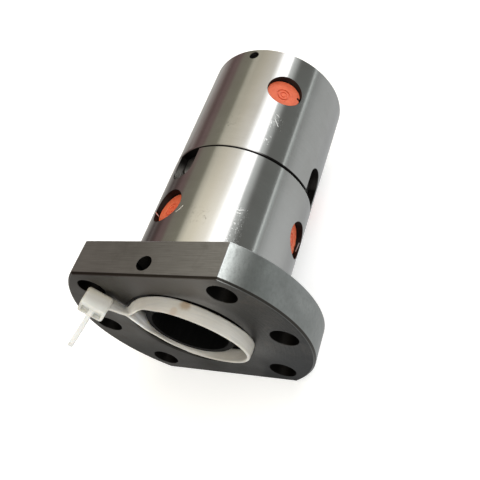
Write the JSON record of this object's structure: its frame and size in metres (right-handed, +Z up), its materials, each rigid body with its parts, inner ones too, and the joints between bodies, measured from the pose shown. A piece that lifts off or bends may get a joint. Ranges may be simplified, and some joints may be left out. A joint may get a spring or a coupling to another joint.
{
  "type": "preloaded double ball nut on a shipping arbor",
  "caption": "Flanged double ball nut with moulded return inserts, preload spacer and ball circuits, held on a hollow plastic arbor by a nylon tie at the flange.",
  "frame": {"origin": "on the nut axis, at the flange's seat face (the face that the bolts pull against the machine)", "axes": "+X along the nut axis from the flange towards the far nut's end, +Z up through the oil port in the flange flat, +Y to the left seen from the flange's front"},
  "size_m": [0.124, 0.08, 0.062],
  "materials": {
    "ground_steel": "ground and polished alloy steel",
    "insert_orange": "moulded orange plastic",
    "ball_steel": "polished hardened steel",
    "spacer_steel": "turned steel",
    "wiper_plastic": "dark moulded plastic",
    "grub_steel": "black oxide",
    "arbor_black": "extruded black plastic tube",
    "nylon": "natural translucent nylon"
  },
  "bodies": {
    "nut": {"flanged_nut": "ground_steel", "cylindrical_nut": "ground_steel", "preload_spacer": "spacer_steel", "return_insert_a1": "insert_orange", "ball_circuit_a1": "ball_steel", "return_insert_a2": "insert_orange", "ball_circuit_a2": "ball_steel", "return_insert_a3": "insert_orange", "ball_circuit_a3": "ball_steel", "return_insert_b1": "insert_orange", "ball_circuit_b1": "ball_steel", "return_insert_b2": "insert_orange", "ball_circuit_b2": "ball_steel", "return_insert_b3": "insert_orange", "ball_circuit_b3": "ball_steel", "front_wiper": "wiper_plastic", "far_wiper": "wiper_plastic", "wiper_grub_screw": "grub_steel"},
    "tie": {"nylon_tie": "nylon"},
    "arbor_body": {"arbor": "arbor_black"}
  },
  "joints": [
    {"name": "arbor_withdraw", "type": "slide", "parent": "nut", "child": "tie", "axis": [-1, 0, 0], "range_m": [0, 0.106]},
    {"name": "arbor_spin", "type": "hinge", "parent": "tie", "child": "arbor_body", "pos_m": [0, 0, 0], "axis": [1, 0, 0], "continuous": true}
  ]
}
